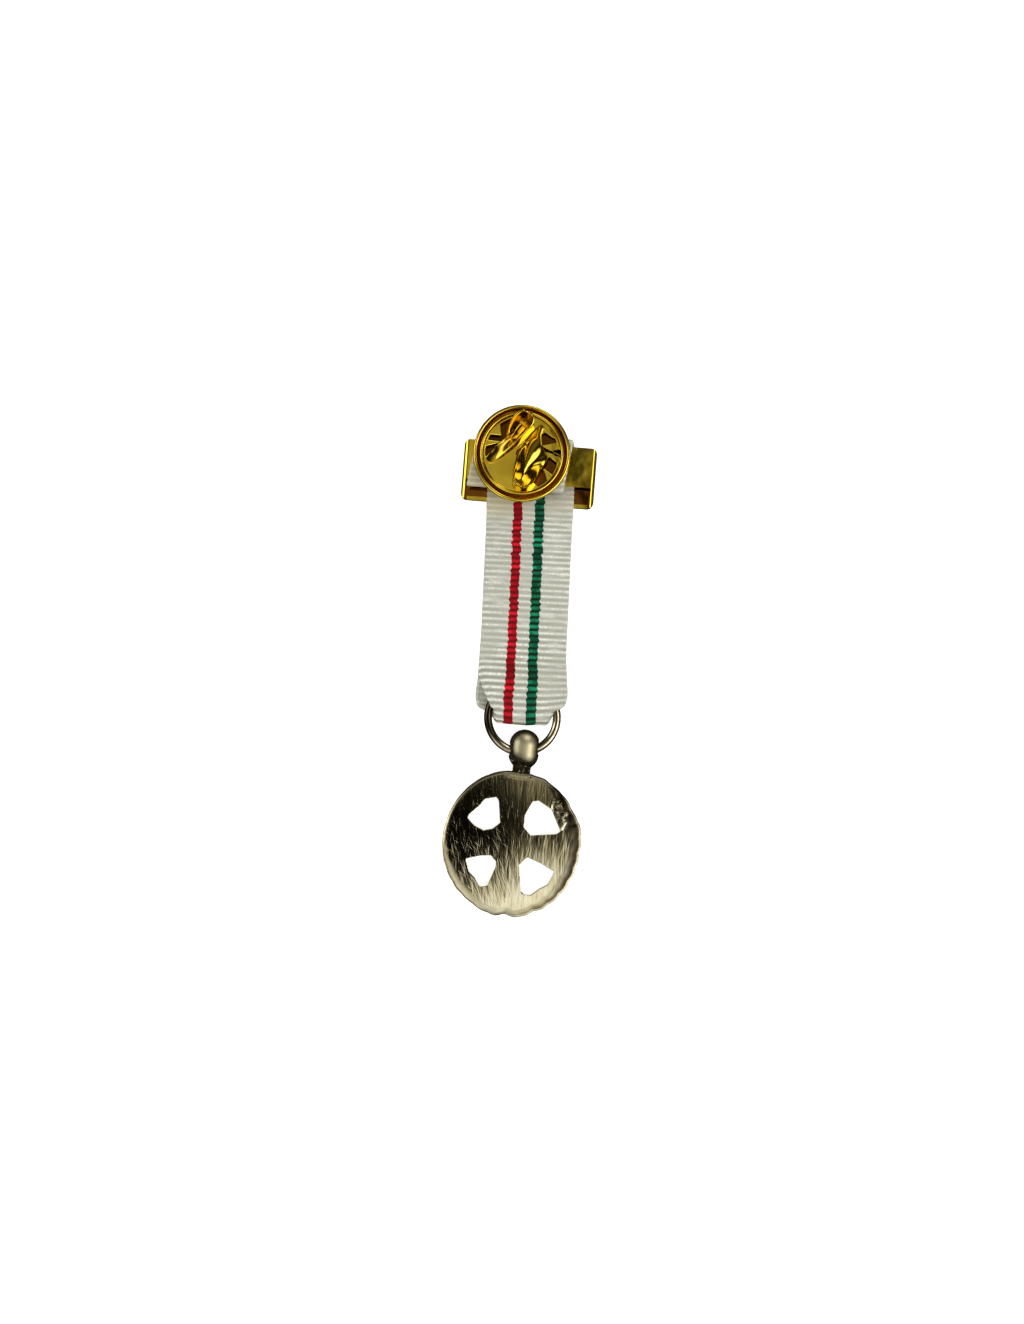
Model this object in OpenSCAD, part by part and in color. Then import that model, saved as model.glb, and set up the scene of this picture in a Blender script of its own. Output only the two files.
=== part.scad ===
// Miniature medal lying on its face: brooch bar with butterfly clutch, ribbon, ring and pierced pendant.
// Millimetres. The back of the medal faces +Z, the bar is at +Y and the pendant at -Y.

/* [Ribbon] */
// Width of the ribbon
ribbon_w = 10.8; // [10.4:0.1:11]
// Thickness of the ribbon's wall
ribbon_t = 1.0; // [1:0.01:1.02]
// Turn of the ribbon, clockwise seen from the back, in degrees
ribbon_turn = 2.65; // [2.2:0.05:3]
// Width of the tail, which the clutch presses flat
tail_w = 11.7; // [11:0.1:11.8]
// Lean of the tail against the bar, in degrees
tail_lean = 7.7; // [6.5:0.1:8]

/* [Brooch bar] */
// Length of the bar
bar_l = 16.1; // [15.9:0.1:16.6]
// Width of the bar
bar_w = 7.2; // [7.1:0.1:7.4]
// Height of the bar, from its front plate to its tongues
bar_h = 2.0; // [2:0.02:2.06]
// Thickness of the bar's sheet metal
sheet = 0.45; // [0.4:0.01:0.45]
// Turn of the bar, clockwise seen from the back, in degrees
bar_turn = 4.5; // [4:0.1:5]
// Width of the two tongues, along the bar's width
tongue_w = 4.8; // [4.6:0.1:4.9]
// Length of each tongue, from the bar's end
tongue_l = 5.0; // [4.6:0.1:5.2]
// Diameter of the clutch's pin
pin_d = 1.15; // [1.1:0.01:1.18]
// Height of the pin above the front plate
pin_h = 4.8; // [4.8:0.05:5.2]

/* [Clutch] */
// Outer diameter of the clutch
clutch_d = 11.5; // [11.4:0.1:11.7]
// Thickness of the spring plate and its wings
spring_t = 0.3; // [0.28:0.01:0.32]
// Height of the wings above the spring plate
wing_h = 3.4; // [3.2:0.1:3.8]
// Direction of the slot between the wings, in degrees from +X
wing_turn = 52; // [45:1:60]
// Diameter of the hole that grips the pin
grip_d = 1.3; // [1.24:0.01:1.34]

/* [Ring] */
// Diameter of the ring, to the middle of its wire
ring_d = 8.4; // [8.3:0.05:8.5]
// Diameter of the ring's wire
wire_d = 1.0; // [0.95:0.01:1.02]

/* [Pendant] */
// Mean outer radius of the wreath
wreath_r = 8.6; // [8.5:0.05:8.7]
// Thickness of the pendant, from relief to back
pendant_t = 2.0; // [1.9:0.05:2.1]
// Depth of the relief on the front
relief_h = 0.55; // [0.45:0.05:0.6]
// Number of leaves round the wreath
leaves = 28; // [24:2:32]
// Turn of the pendant, clockwise seen from the back, in degrees
pendant_turn = 7.4; // [7:0.1:8]

/* [Hidden] */
$fn = 64;
gap = 0.05;            // clearance between pieces that rest on each other
past = 0.01;           // how far a cut runs past a face

// Where the pieces lie in plan
bar_at = [1.15, 23.1];
clutch_at = [0.25, 25.1];
ribbon_at = [0.85, 10.3];
ring_at = [0.35, -6.45];
pendant_at = [-0.95, -21.95];

// Levels, from the table up
lip_h = 0.55;          // height of the lip along the bar's lower edge
bar_z = ribbon_t + gap;
plate_top = bar_z + sheet;
tongue_top = bar_z + bar_h;
lip_top = plate_top + lip_h;
tail_z = tongue_top + gap;
clutch_z = tail_z + ribbon_t + gap;
ring_z = ribbon_t + gap + wire_d / 2;
back_z = ring_z + wire_d / 2 + gap;

module at_bar() { translate([bar_at[0], bar_at[1], 0]) rotate(-bar_turn) children(); }
module at_ribbon() { translate([ribbon_at[0], ribbon_at[1], 0]) rotate(-ribbon_turn) children(); }
module at_clutch() { translate([clutch_at[0], clutch_at[1], clutch_z]) rotate(wing_turn) children(); }
module at_ring() { translate([ring_at[0], ring_at[1], ring_z]) children(); }
module at_pendant() { translate([pendant_at[0], pendant_at[1], 0]) rotate(-pendant_turn) children(); }

// A place in plan, seen from a piece that lies at [x, y] and is turned clockwise
function seen_from(p, at, turn) =
    let (d = p - at)
    [d[0] * cos(turn) - d[1] * sin(turn), d[0] * sin(turn) + d[1] * cos(turn)];

// Rounded rectangle, centred, made of straight sides and true arcs
module rounded(size, r) {
    square([size[0] - 2 * r, size[1]], center = true);
    square([size[0], size[1] - 2 * r], center = true);
    for (x = [-1, 1], y = [-1, 1])
        translate([x * (size[0] / 2 - r), y * (size[1] / 2 - r)]) circle(r);
}

// Brooch bar
bend_r = 0.6;          // outer radius of the bent ends
bend_in = 0.15;        // inner radius of the bent ends
corner_r = 0.7;        // rounded corners seen from the front
lip_l = bar_l - 2 * corner_r;
solder_r = 1.0;        // fillet of solder round the pin's foot
solder_h = 0.05;
notch_z = 4.0;         // notch that the spring plate snaps into, above the front plate
notch_r = 0.12;
point_h = 0.5;

module bar_section() {
    difference() {
        rounded([bar_l, bar_h], bend_r);
        rounded([bar_l - 2 * sheet, bar_h - 2 * sheet], bend_in);
    }
}

module bent_sheet() {
    intersection() {
        translate([0, 0, bar_z + bar_h / 2])
            rotate([90, 0, 0])
                linear_extrude(bar_w, center = true) bar_section();
        linear_extrude(tongue_top + 1) rounded([bar_l, bar_w], corner_r);
    }
}

// The gap between the tongues, and the open part of the tray below them
module tray_opening() {
    slot = bar_l - 2 * tongue_l;
    open_l = bar_l - 2 * sheet;
    open_w = bar_w - tongue_w;
    translate([-slot / 2, -bar_w, plate_top + past]) cube([slot, 2 * bar_w, bar_h]);
    translate([-open_l / 2, -bar_w / 2 - 1, plate_top + past]) cube([open_l, open_w + 1, bar_h]);
}

module pin() {
    at = seen_from(clutch_at, bar_at, bar_turn);
    r = pin_d / 2;
    translate([at[0], at[1], plate_top - past])
        rotate_extrude()
            polygon([[0, 0], [solder_r, 0], [r, solder_h], [r, notch_z], [r - notch_r, notch_z + notch_r],
                [r, notch_z + 2 * notch_r], [r, pin_h - point_h], [r / 4, pin_h], [0, pin_h]]);
}

module brooch_bar() {
    color("goldenrod") at_bar() {
        difference() {
            bent_sheet();
            tray_opening();
        }
        translate([-lip_l / 2, -bar_w / 2, bar_z]) cube([lip_l, sheet, lip_top - bar_z]);
        pin();
    }
}

// Clutch cup
rim_r = clutch_d / 2;
foot_z = 0.8;          // top of the sloping foot below the rim
foot_in = 0.3;
roll_r = 0.36;         // rolled rim
roll_z = 1.55;
bead_r = 0.17;         // raised bead inside the groove
bead_at = 4.8;
bead_z = 1.85;
base_r = 4.55;         // flat underside
base_t = 0.35;
cup_wall_r = 4.62;     // inside of the cup's wall
cup_hole_r = 0.95;
ledge_r = 4.2;
plate_z = 1.32;        // underside of the spring plate in the cup
plate_r = cup_wall_r - gap;

module clutch_cup() {
    color("gold") at_clutch() rotate_extrude() {
        polygon([[cup_hole_r, 0], [base_r, 0], [rim_r - foot_in, foot_z], [rim_r - past, roll_z - 0.08],
            [rim_r - roll_r, roll_z], [bead_at, roll_z], [bead_at, bead_z], [cup_wall_r, bead_z],
            [cup_wall_r, plate_z - gap], [ledge_r, plate_z - gap], [ledge_r, base_t],
            [cup_hole_r, base_t]]);
        translate([rim_r - roll_r, roll_z]) circle(roll_r);
        translate([bead_at, bead_z]) circle(bead_r);
    }
}

// Two cut-outs in the spring plate, each with a straight side under its wing and teeth along its arc.
// Columns: angles of its two ends from the line square to the slot, and number of notches.
cut_side = 1.6;        // straight side, from the middle
cut_r = 4.1;
tooth_r = 3.0;
cut_a = [-40, 37, 3];
cut_b = [-62, 26, 4];

function tooth_point(cut, i) =
    let (a = cut[0] + (cut[1] - cut[0]) * i / (2 * cut[2]), r = i % 2 == 0 ? cut_r : tooth_r)
    [r * sin(a), r * cos(a)];

module cut_out(cut) {
    first = tooth_point(cut, 0)[0];
    last = tooth_point(cut, 2 * cut[2])[0];
    polygon(concat([for (i = [0 : 2 * cut[2]]) tooth_point(cut, i)],
        [[last, cut_side], [first, cut_side]]));
}

// Each wing is a trough of bent sheet that rises from its root in the plate to a scoop at its other end.
// Columns: a point of its inner edge, of the bottom of the trough and of its outer edge. Each point has
// its place along the slot and square to it, and its height as a share of wing_h.
wing_a = [
    [[-3.3, 2.15, -0.015], [-3.35, 2.6, -0.015], [-3.2, 3.1, -0.015]],
    [[-2.3, 1.75, 0.1], [-2.3, 2.45, 0.04], [-2.2, 3.1, 0.03]],
    [[-1.1, 1.5, 0.25], [-1.1, 2.25, 0.1], [-1, 2.95, 0.06]],
    [[0.2, 1.25, 0.5], [0.2, 2, 0.2], [0.1, 2.65, 0.22]],
    [[1.05, 1.12, 0.68], [1, 2, 0.25], [0.7, 2.75, 0.5]],
    [[2.3, 0.92, 0.88], [1.9, 2.1, 0.28], [1.4, 3, 0.76]],
    [[3.2, 0.88, 0.94], [2.9, 2.1, 0.35], [2.4, 3.15, 0.91]],
    [[3.75, 1.15, 0.97], [3.6, 2.05, 0.65], [3.3, 3, 1]],
    [[3.95, 1.65, 0.97], [3.95, 2.15, 0.91], [3.8, 2.7, 1.03]]
];
wing_b = [
    [[-4.1, -0.4, 0], [-4.2, -0.05, -0.015], [-4.1, 0.3, -0.015]],
    [[-2.9, -0.45, 0.32], [-3, 0, 0.12], [-3.1, 0.55, 0.03]],
    [[-1.9, -0.5, 0.56], [-2, 0.5, 0.18], [-2.1, 1.6, 0.045]],
    [[-0.9, -0.42, 0.74], [-1, 0.9, 0.21], [-1.5, 2.75, 0.09]],
    [[0.2, -0.28, 0.88], [0, 1.1, 0.22], [-0.4, 3, 0.21]],
    [[1.3, 0.12, 0.94], [1, 1.4, 0.22], [0.5, 3.1, 0.47]],
    [[2.2, 0.55, 0.94], [2, 1.8, 0.25], [1.6, 3.3, 0.76]],
    [[3.1, 1, 0.91], [2.9, 2.1, 0.41], [2.7, 3.3, 0.91]],
    [[3.55, 1.6, 0.88], [3.5, 2.25, 0.79], [3.35, 2.9, 0.91]]
];
cols = 20;             // faces along a wing and across it
rows = 8;

// Smooth curve through b and c, between a and d
function curve(a, b, c, d, t) =
    0.5 * (2 * b + t * (c - a) + t * t * (2 * a - 5 * b + 4 * c - d) + t * t * t * (3 * b - a - 3 * c + d));
function section(wing, s) =
    let (last = len(wing) - 1, k = min(last - 1, floor(s * last)))
    curve(wing[max(0, k - 1)], wing[k], wing[k + 1], wing[min(last, k + 2)], s * last - k);
function wing_mid(wing, s, t) =
    let (c = section(wing, s), p = (1 - t) * (1 - 2 * t) * c[0] + 4 * t * (1 - t) * c[1] + t * (2 * t - 1) * c[2])
    [p[0], p[1], p[2] * wing_h];
function wing_side(wing, s, t, out) =
    let (d = 0.01,
        along = wing_mid(wing, min(1, s + d), t) - wing_mid(wing, max(0, s - d), t),
        over = wing_mid(wing, s, min(1, t + d)) - wing_mid(wing, s, max(0, t - d)),
        normal = cross(along, over))
    wing_mid(wing, s, t) + out * spring_t / 2 * normal / norm(normal);

module wing(wing) {
    n = rows + 1;
    side = (cols + 1) * n;
    points = [for (out = [1, -1], i = [0 : cols], j = [0 : rows]) wing_side(wing, i / cols, j / rows, out)];
    upper = [for (i = [0 : cols - 1], j = [0 : rows - 1])
        let (k = i * n + j) [k, k + 1, k + n + 1, k + n]];
    under = [for (f = upper) [for (k = [3 : -1 : 0]) f[k] + side]];
    inner = [for (i = [0 : cols - 1]) let (k = i * n) [k, k + n, k + n + side, k + side]];
    outer = [for (i = [0 : cols - 1]) let (k = i * n + rows) [k, k + side, k + n + side, k + n]];
    root = [for (j = [0 : rows - 1]) [j, j + side, j + 1 + side, j + 1]];
    scoop = [for (j = [0 : rows - 1]) let (k = cols * n + j) [k, k + 1, k + 1 + side, k + side]];
    polyhedron(points, concat(upper, under, inner, outer, root, scoop), convexity = 6);
}

module clutch_spring() {
    color("goldenrod") at_clutch() translate([0, 0, plate_z]) {
        linear_extrude(spring_t) difference() {
            circle(plate_r);
            circle(d = grip_d);
            cut_out(cut_a);
            rotate(180) cut_out(cut_b);
        }
        translate([0, 0, spring_t]) {
            wing(wing_a);
            rotate(180) wing(wing_b);
        }
    }
}

// Ribbon. Its own lengths run along Y from the middle of its straight stretch.
fold_y = -16.1;        // where the fold at the ring begins
fold_left = -3.2;      // the fold is gathered to pass through the ring
fold_right = 3.7;
pin_hole_d = 1.7;
tray_end = 15.8;       // end of the ribbon inside the tray
fold_r = (back_z + ribbon_t) / 2;
tail_top = tail_z + ribbon_t;
tail_bottom = -2.1;    // cut end of the tail, in the bar's own lengths
tail_x = -1.6;         // middle of that cut end
turn_r = 1.0;          // round outside of the turn over the bar's top edge

// Middle of the back layer's wall. Columns: y along the ribbon, z above the table.
back_path = [
    [fold_y, back_z + ribbon_t / 2],
    [-11.6, back_z + ribbon_t / 2],
    [-9.4, 1.5 * ribbon_t + 2 * gap],
    [6.8, 1.5 * ribbon_t + 2 * gap],
    [8.6, lip_top + gap + ribbon_t / 2 + 0.05],
    [9.9, lip_top + gap + ribbon_t / 2 + 0.05],
    [11.1, plate_top + gap + ribbon_t / 2],
    [tray_end, plate_top + gap + ribbon_t / 2]
];

// Outlines in plan. Columns: x across the ribbon, y along it.
half = ribbon_w / 2;
back_outline = [
    [-half, tray_end], [half, tray_end], [half, -9], [half + 0.2, -11.9], [half + 0.65, -14.6],
    [half, -15.5], [fold_right + 0.7, fold_y], [fold_left - 0.3, fold_y],
    [-half + 1.3, -15.4], [-half + 0.75, -13.6], [-half + 0.1, -12.4], [-half, -9]
];
front_outline = [
    [-half, 16.6], [half, 16.6], [half, -11.5], [half + 0.2, -14.7], [fold_right, fold_y],
    [fold_left, fold_y], [-half, fold_y], [-half - 0.4, -14.9], [-half - 0.2, -12.4], [-half, -8.8]
];

// Outline of a wall that follows a path at an even thickness
function side_step(path, i, t) =
    let (a = path[max(0, i - 1)], b = path[min(len(path) - 1, i + 1)], d = b - a)
    t / 2 * [-d[1], d[0]] / norm(d);
function wall_outline(path, t) = concat(
    [for (i = [0 : len(path) - 1]) path[i] + side_step(path, i, t)],
    [for (i = [len(path) - 1 : -1 : 0]) path[i] - side_step(path, i, t)]);

// Stands a profile drawn in Y and Z up and gives it a width along X
module across(from, to) {
    translate([from, 0, 0])
        rotate([90, 0, 90])
            linear_extrude(to - from) children();
}

module front_layer() {
    linear_extrude(ribbon_t) polygon(front_outline);
}

module back_layer() {
    intersection() {
        across(-ribbon_w, ribbon_w) polygon(wall_outline(back_path, ribbon_t));
        linear_extrude(tail_top) polygon(back_outline);
    }
}

module ring_fold() {
    across(fold_left, fold_right) intersection() {
        translate([fold_y, fold_r]) difference() {
            circle(fold_r);
            circle(fold_r - ribbon_t);
        }
        translate([fold_y - 2 * fold_r, 0]) square([2 * fold_r + past, 2 * fold_r]);
    }
}

// The fold over the bar's top edge and the tail on top of the tongues, in the bar's own place
module tail() {
    top = bar_w / 2 + gap;
    shift = tan(tail_lean);
    function edge(x, y) = [x + (y - tail_bottom) * shift, y];
    outline = [
        edge(tail_x - tail_w / 2, tail_bottom), edge(tail_x + tail_w / 2, tail_bottom),
        edge(tail_x + tail_w / 2, top + 2), edge(tail_x - tail_w / 2, top + 2)
    ];
    intersection() {
        linear_extrude(tail_top) polygon(outline);
        across(-bar_l, bar_l) difference() {
            union() {
                translate([tail_bottom - 1, tail_z]) square([top - tail_bottom + 1, ribbon_t]);
                translate([top - past, turn_r]) square([turn_r + past, tail_top - 2 * turn_r]);
                translate([top - past, 0]) square([past, tail_top]);
                for (z = [turn_r, tail_top - turn_r])
                    translate([top, z]) circle(turn_r);
            }
            translate([top - 3, ribbon_t]) square([3, tail_z - ribbon_t]);
            translate([top - 3, -past]) square([3 - past, ribbon_t + 2 * past]);
        }
    }
}

module ribbon() {
    color("ivory") difference() {
        union() {
            at_ribbon() {
                front_layer();
                back_layer();
                ring_fold();
            }
            at_bar() tail();
        }
        translate([clutch_at[0], clutch_at[1], bar_z]) cylinder(d = pin_hole_d, h = clutch_z);
    }
}

// Suspension ring
module suspension_ring() {
    color("silver") at_ring()
        rotate_extrude() translate([ring_d / 2, 0]) circle(d = wire_d, $fn = 32);
}

// Pendant. Its own lengths start at the middle of the disc, with the cross upright.
oval = 0.2;            // the wreath is a little taller than wide
tip_h = 0.13;          // how far the leaves' tips stand out
back_r = 8.15;         // edge of the back's flat, which lies to the left
back_x = -0.45;
bevel_r = 9.4;         // the bevel's foot
bevel_z = 0.8;
dome_h = 0.2;          // the back is slightly domed
dome_steps = 5;
rim_steps = 4;         // points of the outline for each leaf
ground_z = relief_h / 2;   // face of the cast ground between the leaves
leaf_l = 1.25;         // half length and half width of a leaf
leaf_w = 0.5;
leaf_at = 7.1;
leaf_turn = 28;
arm_w = 1.7;           // raised arms of the plain cross on the front
arm_l = 6.3;
boss_r = 2.1;
ball_y = 11.85;        // middle of the ball-shaped eye
ball_r = 1.86;
ball_up = 0.45;        // its two rounded ends, from its middle
ball_down = -0.7;
ball_top = 2.75;       // filed flat on the back
neck_r = 1.1;
neck_l = 1.9;
neck_t = 2.15;
hole_clear = 0.22;     // clearance of the ring's wire in the eye

// The four openings, cast and sawn by hand, each different. Columns: x, y from the disc's middle.
openings = [
    [[-5.7, 2.6], [-5.5, 3.1], [-4.4, 4.3], [-3.9, 5.1], [-2.6, 5.5], [-2.3, 5.1], [-1.8, 2.5],
        [-2.6, 1.7], [-3.6, 1.4], [-4.9, 1.9]],
    [[1.9, 5.5], [2.5, 5.7], [3.3, 5.3], [4.2, 4.85], [5.6, 2.4], [5.2, 2.05], [2.1, 1.5],
        [1.25, 2.3], [1.2, 3.8]],
    [[-5.3, -2.4], [-3.6, -1.8], [-2.4, -1.6], [-1.65, -2.3], [-1.65, -2.8], [-2.4, -5.3],
        [-3.2, -5.5], [-4.0, -4.4], [-4.7, -3.9]],
    [[1.25, -2.3], [2.1, -1.3], [3.7, -1.8], [5.5, -2.6], [5.2, -3.4], [4.9, -4.2], [4.0, -4.8],
        [3.0, -5.75], [2.2, -5.7], [1.85, -5.4], [1.6, -4.0]]
];

// The leaves' tips show most at the lower right and hardly at the left
function rim_radius(a) =
    wreath_r - oval * cos(2 * a) + tip_h * (0.6 + 0.4 * cos(a + 40)) * abs(sin(a * leaves / 2));

module disc_body() {
    steps = rim_steps * leaves;
    intersection() {
        translate([0, 0, ground_z]) linear_extrude(pendant_t - ground_z)
            polygon([for (i = [0 : steps - 1]) let (a = 360 * i / steps) rim_radius(a) * [cos(a), sin(a)]]);
        translate([back_x, 0, 0]) rotate_extrude($fn = 128)
            polygon(concat([[0, 0], [bevel_r, 0], [bevel_r, bevel_z]],
                [for (i = [dome_steps : -1 : 0])
                    [back_r * i / dome_steps, pendant_t - dome_h * pow(i / dome_steps, 2)]]));
    }
}

module leaf() {
    r = (leaf_l * leaf_l + leaf_w * leaf_w) / (2 * leaf_w);
    linear_extrude(relief_h) intersection() {
        translate([0, r - leaf_w]) circle(r);
        translate([0, leaf_w - r]) circle(r);
    }
}

module front_relief() {
    for (i = [0 : leaves - 1])
        rotate((i + 0.5) * 360 / leaves) translate([leaf_at, 0, 0]) rotate(leaf_turn) leaf();
    for (a = [0, 90])
        rotate(a) translate([-arm_l, -arm_w / 2, 0.1]) cube([2 * arm_l, arm_w, relief_h]);
    cylinder(r = boss_r, h = relief_h);
}

module eye() {
    intersection() {
        translate([0, ball_y, ring_z]) {
            translate([0, ball_up, 0]) sphere(ball_r);
            translate([0, ball_down, 0]) sphere(ball_r);
            rotate([90, 0, 0]) cylinder(r = ball_r, h = 2 * ball_up, center = true);
        }
        translate([-5, 0, 0]) cube([10, 20, ball_top]);
    }
    intersection() {
        translate([0, wreath_r - 0.4, ring_z]) rotate([-90, 0, 0]) cylinder(r = neck_r, h = neck_l);
        translate([-5, 0, ground_z]) cube([10, 20, neck_t - ground_z]);
    }
}

module pendant() {
    color("lightslategray") difference() {
        at_pendant() {
            difference() {
                union() {
                    disc_body();
                    front_relief();
                }
                for (outline = openings)
                    translate([0, 0, -1]) linear_extrude(pendant_t + 2) polygon(outline);
            }
            eye();
        }
        at_ring() rotate_extrude() translate([ring_d / 2, 0]) circle(d = wire_d + 2 * hole_clear);
    }
}

brooch_bar();
clutch_cup();
clutch_spring();
ribbon();
suspension_ring();
pendant();
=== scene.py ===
import math

import bmesh
import bpy
import mathutils
import numpy as np
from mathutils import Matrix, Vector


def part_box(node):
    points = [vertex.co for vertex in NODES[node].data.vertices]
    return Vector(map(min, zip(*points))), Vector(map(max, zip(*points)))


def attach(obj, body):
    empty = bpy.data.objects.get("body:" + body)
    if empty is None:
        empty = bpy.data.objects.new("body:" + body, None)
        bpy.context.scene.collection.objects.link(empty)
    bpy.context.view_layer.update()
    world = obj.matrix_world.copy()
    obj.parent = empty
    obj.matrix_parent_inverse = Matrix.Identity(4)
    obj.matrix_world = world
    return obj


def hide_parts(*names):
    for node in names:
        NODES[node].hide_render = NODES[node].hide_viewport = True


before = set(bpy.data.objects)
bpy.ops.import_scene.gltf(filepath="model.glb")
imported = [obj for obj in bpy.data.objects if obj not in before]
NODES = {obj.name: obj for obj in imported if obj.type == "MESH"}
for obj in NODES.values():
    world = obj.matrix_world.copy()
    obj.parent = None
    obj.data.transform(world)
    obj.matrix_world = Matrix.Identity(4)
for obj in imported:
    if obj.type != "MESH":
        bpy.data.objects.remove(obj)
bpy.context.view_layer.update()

MM = 0.001
SCENE = bpy.context.scene
EDGE_WEAR = 0.06  # how wide worn edges are rounded

# Places in plan and turns of the pieces, as in the part's source
BAR_AT, BAR_TURN = (1.15, 23.1), 4.5
RIBBON_AT, RIBBON_TURN = (0.85, 10.3), 2.65
PENDANT_AT, PENDANT_TURN = (-0.95, -21.95), 7.4


def cos_sin(degrees):
    return math.cos(math.radians(degrees)), math.sin(math.radians(degrees))


def middle(node):
    """Middle of a node's box and its lowest level, in millimetres."""
    low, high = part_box(node)
    return np.array([(low.x + high.x) / 2, (low.y + high.y) / 2, low.z]) / MM


def placed(points, at, turn):
    """Points of a piece that lies at a place in plan, turned clockwise by so many degrees."""
    p = np.atleast_2d(np.asarray(points, float))
    c, s = cos_sin(turn)
    out = p.copy()
    out[:, 0] = at[0] + p[:, 0] * c + p[:, 1] * s
    out[:, 1] = at[1] - p[:, 0] * s + p[:, 1] * c
    return out


def turned_back(x, y, at, turn):
    """Places in a piece's own plane: the reverse of placed."""
    c, s = cos_sin(turn)
    dx, dy = x - at[0], y - at[1]
    return dx * c - dy * s, dx * s + dy * c


def arc(radius, start, end, steps, centre=(0, 0)):
    """Points on a circle, between two angles in degrees."""
    angles = np.radians(np.linspace(start, end, steps))
    return [(centre[0] + radius * math.cos(a), centre[1] + radius * math.sin(a)) for a in angles]


def unit(v):
    return v / np.maximum(np.linalg.norm(v, axis=-1, keepdims=True), 1e-12)


def along(table, at):
    """Value of a table at places along its first column."""
    table = np.array(sorted(table))
    return np.interp(at, table[:, 0], table[:, 1])


def cut(value):
    return np.clip(value, 0, 1)


def ramp(value, start, width):
    """0 at start and 1 a width further on, or the other way where the width is negative."""
    return cut((value - start) / width)


def smooth_rows(rows, at, to):
    """Rows carried from places at to places to, on a smooth curve."""
    slope = np.gradient(rows, at, axis=0)
    k = np.clip(np.searchsorted(at, to, side="right") - 1, 0, len(at) - 2)
    h = (at[k + 1] - at[k])[:, None]
    t = ((to - at[k])[:, None]) / h
    return ((2 * t**3 - 3 * t**2 + 1) * rows[k] + (t**3 - 2 * t**2 + t) * h * slope[k]
            + (3 * t**2 - 2 * t**3) * rows[k + 1] + (t**3 - t**2) * h * slope[k + 1])


# Meshes
def linked(name, data):
    """A new object in the scene."""
    piece = bpy.data.objects.new(name, data)
    SCENE.collection.objects.link(piece)
    return piece


def make_piece(name, points, faces, paint, smooth=True):
    mesh = bpy.data.meshes.new(name)
    mesh.from_pydata((np.asarray(points, float) * MM).tolist(), [], [tuple(f) for f in faces])
    mesh.materials.append(paint)
    mesh.update()
    if smooth:
        mesh.shade_smooth()
    return linked(name, mesh)


def grid_faces(rows, cols, closed=False, start=0, flip=False):
    """Quads of a grid kept row by row. A closed grid joins up with itself both ways."""
    i = np.arange(rows if closed else rows - 1)[:, None]
    j = np.arange(cols if closed else cols - 1)[None, :]
    next_i, next_j = (i + 1) % rows, (j + 1) % cols
    corners = (i * cols + j, i * cols + next_j, next_i * cols + next_j, next_i * cols + j)
    quads = np.stack(corners, axis=-1).reshape(-1, 4) + start
    return quads[:, ::-1] if flip else quads


def sheet_faces(rows, cols):
    """Faces of a closed sheet: a grid of points above, the same again below, and its rim."""
    size = rows * cols
    i, j = np.arange(rows - 1) * cols, np.arange(cols - 1)
    last_row, last_col = (rows - 1) * cols, cols - 1
    return np.concatenate([
        grid_faces(rows, cols), grid_faces(rows, cols, start=size, flip=True),
        np.stack([i, i + cols, i + cols + size, i + size], -1),
        np.stack([i, i + size, i + cols + size, i + cols], -1) + last_col,
        np.stack([j, j + size, j + 1 + size, j + 1], -1),
        np.stack([j, j + 1, j + 1 + size, j + size], -1) + last_row])


def set_uv(piece, uv):
    """Gives each point of the mesh its own place in the UV map."""
    layer = piece.data.uv_layers.new(name="UVMap")
    loops = np.zeros(len(piece.data.loops), np.int32)
    piece.data.loops.foreach_get("vertex_index", loops)
    layer.data.foreach_set("uv", np.asarray(uv, np.float32)[loops].ravel())


def set_share(piece, name, values):
    """Gives each point of the mesh a named share, 0 to 1."""
    layer = piece.data.attributes.new(name, "FLOAT", "POINT")
    layer.data.foreach_set("value", cut(values).astype(np.float32))


def worn_edges(piece, angle):
    """Rounds the edges that turn by more than an angle, in degrees."""
    bevel = piece.modifiers.new("worn edges", "BEVEL")
    bevel.width, bevel.segments = EDGE_WEAR * MM, 2
    bevel.limit_method, bevel.angle_limit = "ANGLE", math.radians(angle)


def relaxed(piece, name, share, times):
    """Smooths the part of a piece that its points' shares mark."""
    group = piece.vertex_groups.new(name=name)
    for k in np.flatnonzero(share > 0):
        group.add([int(k)], float(share[k]), "REPLACE")
    relax = piece.modifiers.new(name, "SMOOTH")
    relax.factor, relax.iterations, relax.vertex_group = 0.6, times, name


def settle(piece, body, replaced):
    """Rides the piece on a body, in place of a node."""
    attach(piece, body)
    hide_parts(replaced)


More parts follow.
